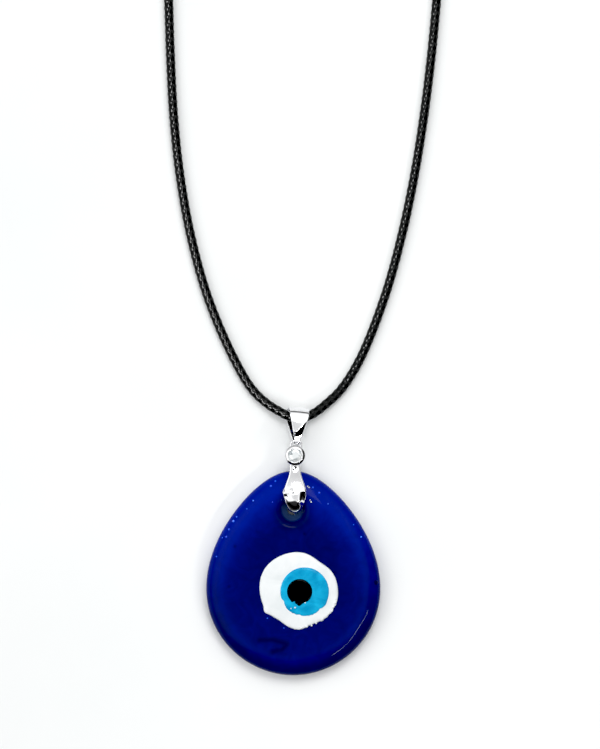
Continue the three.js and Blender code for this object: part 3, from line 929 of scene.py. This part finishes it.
def bail_band():
    """The folded band: a teardrop seen from the side, wide at the top and narrow at the bight."""
    bight = np.array(joints["clip_on_loop"]["pos_m"]) / MM
    top = np.array(joints["loop_on_cord"]["pos_m"]) / MM - np.array([0, 0.05, 0])
    top_radius = BAND_TOP_RADIUS - BAND_THICKNESS / 2
    bight_radius = BAND_BIGHT_RADIUS - BAND_THICKNESS / 2
    length = np.linalg.norm((bight - top)[1:])
    turn = math.pi / 2 + math.asin((top_radius - bight_radius) / length)
    centre = []
    for angle in np.linspace(-turn, turn, 40):
        centre.append((top_radius * math.cos(angle), top_radius * math.sin(angle)))
    for angle in np.linspace(turn, TAU - turn, 24):
        centre.append((bight_radius * math.cos(angle) - length, bight_radius * math.sin(angle)))
    centre = np.array(centre)
    closed = np.vstack([centre, centre[:1]])
    line, _ = spaced(np.column_stack([closed, np.zeros(len(closed))]), BAND_SPACING)
    line = line[:-1, :2]
    along = unit(np.roll(line, -1, axis=0) - np.roll(line, 1, axis=0))
    outward = np.stack([along[:, 1], -along[:, 0]], axis=1)
    half_width = np.interp(line[:, 0], BAND_FROM_CORD, BAND_HALF_WIDTHS)
    share = np.clip(-line[:, 0] / length, 0, 1)
    line[:, 1] += BAND_BELLY * np.sin(math.pi * share) * (line[:, 1] > 0)
    behind = smoothstep(-line[:, 1], 0, 1.5)
    rings = []
    for point, out, half, behind_here in zip(line, outward, half_width, behind):
        across, through = strip_section(half, BAND_THICKNESS / 2)
        out_along = across * BAND_STEP[0] + point[0] * BAND_STEP[1]
        down_step = (out_along - BAND_STEP_OUT) / BAND_STEP_WIDTH
        step = smoothstep(down_step, 0, 1) * smoothstep(point[0], -5.4, -4.4) * (point[1] > 0)
        crown = BAND_CROWN * (0.5 - (across / half) ** 2) * (1 - behind_here)
        depth = through + crown - BAND_STEP_DEPTH * step
        spot = point[None] + depth[:, None] * out[None]
        rings.append(np.column_stack([across - BAND_REAR_SHIFT * behind_here, spot]))
    tilt = math.atan2(top[2] - bight[2], top[1] - bight[1])
    lean = math.atan2(bight[0] - top[0], top[1] - bight[1])
    twist = Matrix.Rotation(BAND_TWIST, 4, "Y")
    turned = Matrix.Rotation(tilt, 4, "X") @ twist @ Matrix.Rotation(lean, 4, "Z")
    return placed(closed_grid(np.array(rings)), Matrix.Translation(top) @ turned)


def clip_strip(direction):
    """One leg of the clip: a strip that swells into a leaf and ends in a prong in the glass's hole."""
    middle = joints["clip_on_loop"]["pos_m"][2] / MM
    centre_x = (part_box("stone_cup")[0].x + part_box("stone_cup")[1].x) / 2 / MM
    line = smooth_line([(y, height, 0) for y, height in LEG_SIDE], 16)[:, :2]
    travelled = np.concatenate([[0], np.cumsum(np.linalg.norm(np.diff(line, axis=0), axis=1))])
    leaf_end = travelled[np.argmin(np.abs(line[:, 0] - LEAF_TIP) + (line[:, 1] < 1.5))]
    past = travelled - leaf_end
    half = np.where(past < 0, np.interp(line[:, 0], *zip(*LEAF_WIDTHS)), 0.4 * np.exp(-past / 0.5) + 0.2)
    kernel = np.ones(9) / 9
    half = np.convolve(np.pad(half, 4, mode="edge"), kernel, mode="valid")
    crown = LEAF_CROWN * hill(line[:, 0], 19.4, 2.6) * np.clip(1 - past / 0.6, 0, 1)
    along = unit(np.gradient(line, axis=0))
    outward = np.stack([along[:, 1], -along[:, 0]], axis=1)
    rings = []
    for point, out, width, rise in zip(line, outward, half, crown):
        across, through = strip_section(width, LEG_HALF_THICKNESS)
        depth = through + rise * (0.5 - (across / width) ** 2)
        spot = point[None] + depth[:, None] * out[None]
        rings.append(np.column_stack([centre_x + across, spot[:, 0], middle + direction * spot[:, 1]]))
    rings = np.array(rings)
    if direction > 0:
        dent_leaf(rings)
    return capped_grid(rings if direction < 0 else rings[:, ::-1])


def dent_leaf(rings):
    """The front leaf's own marks: dimples and bumps, a lump on its left edge and a low right shoulder."""
    flat = rings[..., :2].reshape(-1, 2)
    shape = rings.shape[:2]
    upper = rings[..., 2] > 5.5
    for x, y, width, rise in LEAF_MARKS:
        mark = hill(np.linalg.norm(flat - (x, y), axis=1), 0, width).reshape(shape)
        rings[..., 2] += rise * mark * upper
    shoulder = smoothstep(flat[:, 0], 1.3, 2.6) * smoothstep(-flat[:, 1], -21.6, -20.8)
    rings[..., 2] -= SHOULDER_DROP * shoulder.reshape(shape) * upper
    lump = hill(np.linalg.norm(flat - (-2.1, 21.0), axis=1), 0, 0.8).reshape(shape)
    rings[..., 0] -= LUMP_REACH * lump * upper


def rounded_rectangle(x, y, width, height, corner, steps=8):
    line = []
    for right, top, start in ((1, 1, 0), (-1, 1, 1), (-1, -1, 2), (1, -1, 3)):
        cx = x + right * (width / 2 - corner)
        cy = y + top * (height / 2 - corner)
        for step in range(steps):
            angle = (start + step / (steps - 1)) * math.pi / 2
            line.append((cx + corner * math.cos(angle), cy + corner * math.sin(angle), 0))
    return np.array(line)


def clip_eyelet():
    mid = joints["clip_on_loop"]["pos_m"][2] / MM
    top = joints["clip_on_loop"]["pos_m"][1] / MM
    width, height = EYELET_SIZE
    line = rounded_rectangle(EYELET_X, top - height / 2, width, height, EYELET_CORNER)
    points, faces = wire_loop(line, EYELET_WIRE)
    return points + np.array([0, 0, mid]), faces


def add_bail():
    metal = silver("silver_plate", (0.93, 0.935, 0.95), 0.07)
    loop = add_mesh("bail_band", *bail_band(), "bail_loop", metal, ["bail_loop"])
    clip = add_mesh(
        "clip_shape",
        *join_parts([clip_strip(1), clip_strip(-1), clip_eyelet()]),
        "pinch_clip",
        metal,
        ["pinch_clip"],
    )
    low, high = (np.array(corner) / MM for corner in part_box("stone_cup"))
    middle = (low + high) / 2
    radius = (high[0] - low[0]) / 2
    tall = high[2] - low[2]
    # From the foot on the clip, up the sloped rim, and down to the seat that the stone sits on.
    profile = round_profile(
        [
            (0.001, -0.9),
            (1.0, -0.9),
            (0.95, 0),
            (0.72 * radius, 0.05),
            (0.93 * radius, 0.2 * tall),
            (radius, 0.35 * tall),
            (radius, 0.64 * tall),
            (0.77 * radius, 0.88 * tall),
            (0.71 * radius, 0.9 * tall),
            (0.66 * radius, 0.74 * tall),
            (0.7 * radius, 0.3),
            (0.001, 0.3),
        ],
        0.16,
    )
    cup_points, cup_faces = lathe(profile, 64)
    cup_points = cup_points + np.array([middle[0], middle[1], low[2]])
    cup = add_mesh("stone_setting", cup_points, cup_faces, "pinch_clip", metal, ["stone_cup"])
    add_stone()


def add_stone():
    low, high = (np.array(corner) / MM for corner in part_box("rhinestone"))
    middle = (low + high) / 2
    girdle = (high[0] - low[0]) / 2
    tall = high[2] - low[2]
    rows = [
        (0.3, 0.0, 0.0),
        (1.0, 0.38 * tall, 0.5),
        (1.0, 0.5 * tall, 0.5),
        (0.8, 0.8 * tall, 0.0),
        (0.55, tall, 0.5),
    ]
    sides = 8
    rings = []
    for share, height, shift in rows:
        angles = (np.arange(sides) + shift) / sides * TAU
        ring = np.stack([np.cos(angles), np.sin(angles)], axis=1) * girdle * share + middle[:2]
        rings.append(np.column_stack([ring, np.full(sides, low[2] + height)]))
    points, faces = capped_grid(np.array(rings))
    triangles = []
    for face in faces:
        triangles += [face] if len(face) == 3 else [face[:3], (face[0], face[2], face[3])]
    stone = add_mesh("cut_stone", points, triangles, "pinch_clip", crystal(), ["rhinestone"])
    stone.data.shade_flat()


# ---- the cord ----


def braid_height(around, along):
    """How far the braid stands out, 0 to 1: strands of both hands that pass over and under."""
    right = CORD_STRANDS * around / TAU + along / BRAID_STEP
    left = CORD_STRANDS * around / TAU - along / BRAID_STEP
    right_on_top = (np.floor(right) + np.floor(left)) % 2 > 0.5
    across = np.where(right_on_top, right, left) % 1
    lengthwise = np.where(right_on_top, left, right) % 1
    return np.sin(np.pi * across) ** 0.6 * (0.5 + 0.5 * np.sin(np.pi * lengthwise))


def add_cord():
    line, at = spaced(smooth_line(CORD_ROUTE, 24), CORD_SPACING)
    along = unit(np.gradient(line, axis=0))
    side = unit(np.cross(along, [0, 0, 1]))
    up = np.cross(side, along)
    angles = np.arange(CORD_SIDES) / CORD_SIDES * TAU
    relief = braid_height(angles[None, :], at[:, None])
    radius = CORD_RADIUS - BRAID_RELIEF * (1 - relief)
    rings = line[:, None] + radius[..., None] * (
        np.cos(angles)[None, :, None] * side[:, None] + np.sin(angles)[None, :, None] * up[:, None]
    )
    points, faces = capped_grid(rings[:, ::-1])
    cord = add_mesh("waxed_braid", points, faces, "cord", waxed_cord(), ["cord"])
    return cord, line


# ---- the crimps, rings, chain and clasp ----

WIRE = 0.3
HOOK_BACK = 0.75
RING_RADIUS = 1.7
LINK_HALF_LENGTH = 2
LINK_HALF_WIDTH = 1.3
TAB_RADIUS = 1.25
TAB_HALF_WIDTH = 0.26
TAB_HALF_THICKNESS = 0.2
CRIMP_GRIP = 4.5
CRIMP_TAB = 8.3
CAST_VOXEL = 0.09
CAST_SMOOTHING = 14
# The chain's drop as (radius, distance past where its round body starts).
TAG_PROFILE = [
    (0.001, -0.35),
    (0.42, -0.25),
    (0.5, 0),
    (0.7, 0.6),
    (0.98, 1.3),
    (1.25, 2.1),
    (1.4, 3.0),
    (1.36, 3.7),
    (1.12, 4.3),
    (0.7, 4.8),
    (0.3, 4.97),
    (0.001, 5),
]


def joint_frame(name, toward):
    """A frame at a joint: Z along its axis and X toward the given point."""
    joint = joints[name]
    origin = Vector(joint["pos_m"]) / MM
    z = Vector(joint["axis"]).normalized()
    x = (toward - origin).normalized()
    x = (x - x.dot(z) * z).normalized()
    y = z.cross(x)
    turn = Matrix((x, y, z)).transposed().to_4x4()
    return Matrix.Translation(origin) @ turn


def node_middle(node):
    low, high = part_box(node)
    return (low + high) / 2 / MM


def ring_part():
    angles = np.arange(48) / 48 * TAU
    x = RING_RADIUS - HOOK_BACK + RING_RADIUS * np.cos(angles)
    return wire_loop(np.column_stack([x, RING_RADIUS * np.sin(angles), np.zeros(48)]), WIRE)


def link_part():
    angles = np.linspace(-math.pi / 2, math.pi / 2, 16)
    straight = LINK_HALF_LENGTH - LINK_HALF_WIDTH
    x = straight + LINK_HALF_WIDTH * np.cos(angles)
    y = LINK_HALF_WIDTH * np.sin(angles)
    x = np.concatenate([x, -x]) + LINK_HALF_LENGTH - HOOK_BACK
    y = np.concatenate([y, -y])
    return wire_loop(np.column_stack([x, y, np.zeros(len(x))]), WIRE)


def tab_part(x):
    """A flat eyelet with rounded edges."""
    angles = np.arange(48) / 48 * TAU
    section = np.arange(12) / 12 * TAU
    rings = []
    for angle in angles:
        out = TAB_RADIUS + TAB_HALF_WIDTH * np.sign(np.cos(section)) * np.abs(np.cos(section)) ** 0.6
        up = TAB_HALF_THICKNESS * np.sign(np.sin(section)) * np.abs(np.sin(section)) ** 0.6
        rings.append(np.column_stack([x + out * math.cos(angle), out * math.sin(angle), up]))
    return closed_grid(np.array(rings)[::-1])


def along_x(part):
    """Turns a lathe part, whose axis is Z, so that its axis is X."""
    return placed(part, Matrix.Rotation(math.pi / 2, 4, "Y"))


def crimp_part():
    barrel = lathe(
        round_profile(
            [
                (0.001, 5.9),
                (1.22, 6),
                (1.22, 0.35),
                (1.35, 0),
                (1.6, 0.05),
                (1.6, 1.0),
                (1.46, 1.2),
                (1.46, 1.5),
                (1.6, 1.7),
                (1.6, 4.6),
                (1.46, 4.8),
                (1.46, 5.1),
                (1.6, 5.3),
                (1.6, 6.2),
                (1.1, 7),
                (0.001, 7),
            ],
            0.18,
        ),
        48,
    )
    return join_parts([along_x(barrel), tab_part(CRIMP_TAB)])


def drop_part():
    centre = TAB_RADIUS - 0.05 - HOOK_BACK
    start = centre + 1.5
    profile = [(radius, start + past) for radius, past in TAG_PROFILE]
    return join_parts([along_x(lathe(round_profile(profile, 0.3, 3), 40)), tab_part(centre)])


def cast_part(name, node, body, material):
    """A cast piece: the CAD solid's own shape with its edges rounded, as metal leaves a mould."""
    solid = frame["nodes"][node]
    piece = bpy.data.objects.new(name, solid.data.copy())
    bpy.context.scene.collection.objects.link(piece)
    remesh = piece.modifiers.new("remesh", "REMESH")
    remesh.mode = "VOXEL"
    remesh.voxel_size = CAST_VOXEL * MM
    smooth = piece.modifiers.new("smooth", "SMOOTH")
    smooth.factor = 0.5
    smooth.iterations = CAST_SMOOTHING
    evaluated = piece.evaluated_get(bpy.context.evaluated_depsgraph_get())
    mesh = bpy.data.meshes.new_from_object(evaluated)
    piece.modifiers.clear()
    piece.data = mesh
    mesh.materials.clear()
    mesh.materials.append(material)
    mesh.shade_smooth()
    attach(piece, body)
    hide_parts(node)
    return piece


def add_fittings():
    steel = silver("bright_steel", (0.86, 0.865, 0.88), 0.1)
    pieces = []

    def fit(name, node, body, part, matrix):
        points, faces = placed(part, matrix)
        piece = add_mesh(name, points, faces, body, steel, [node])
        pieces.append(piece)

    for side, ring in (("left", "ring_left_on_crimp"), ("right", "ring_right_on_crimp")):
        origin = Vector(joints[ring]["pos_m"]) / MM
        end = Vector(CORD_ROUTE[0] if side == "left" else CORD_ROUTE[-1])
        before = Vector(CORD_ROUTE[1] if side == "left" else CORD_ROUTE[-2])
        direction = (end - before).normalized()
        mouth = end - CRIMP_GRIP * direction
        turn = direction.to_track_quat("X", "Z").to_matrix().to_4x4()
        fit(f"crimp_end_{side}", f"crimp_{side}", "cord", crimp_part(), Matrix.Translation(mouth) @ turn)
        hooked = joint_frame(ring, origin + direction)
        fit(f"jump_ring_{side}", f"ring_{side}", f"ring_{side}", ring_part(), hooked)

    names = [f"chain_link_{i:02d}" for i in range(1, 13)]
    for name, after in zip(names, names[1:] + ["chain_drop"]):
        toward = Vector(joints[f"{after}_turn"]["pos_m"]) / MM
        fit(f"oval_{name}", name, name, link_part(), joint_frame(f"{name}_turn", toward))
    hooked = joint_frame("chain_drop_turn", node_middle("chain_drop"))
    fit("teardrop_tag", "chain_drop", "chain_drop", drop_part(), hooked)
    pieces.append(cast_part("clasp_casting", "clasp_body", "clasp", steel))
    pieces.append(cast_part("lever_casting", "clasp_lever", "clasp_lever", steel))
    for node in ("clasp_pin", "clasp_spring"):
        clasp = frame["nodes"][node]
        clasp.data.materials.clear()
        clasp.data.materials.append(steel)
        pieces.append(clasp)
    return pieces


add_studio()
cord, cord_line = add_cord()
add_cord_light(cord)
add_glass()
add_eye()
add_bail()
on_cord = add_fittings()
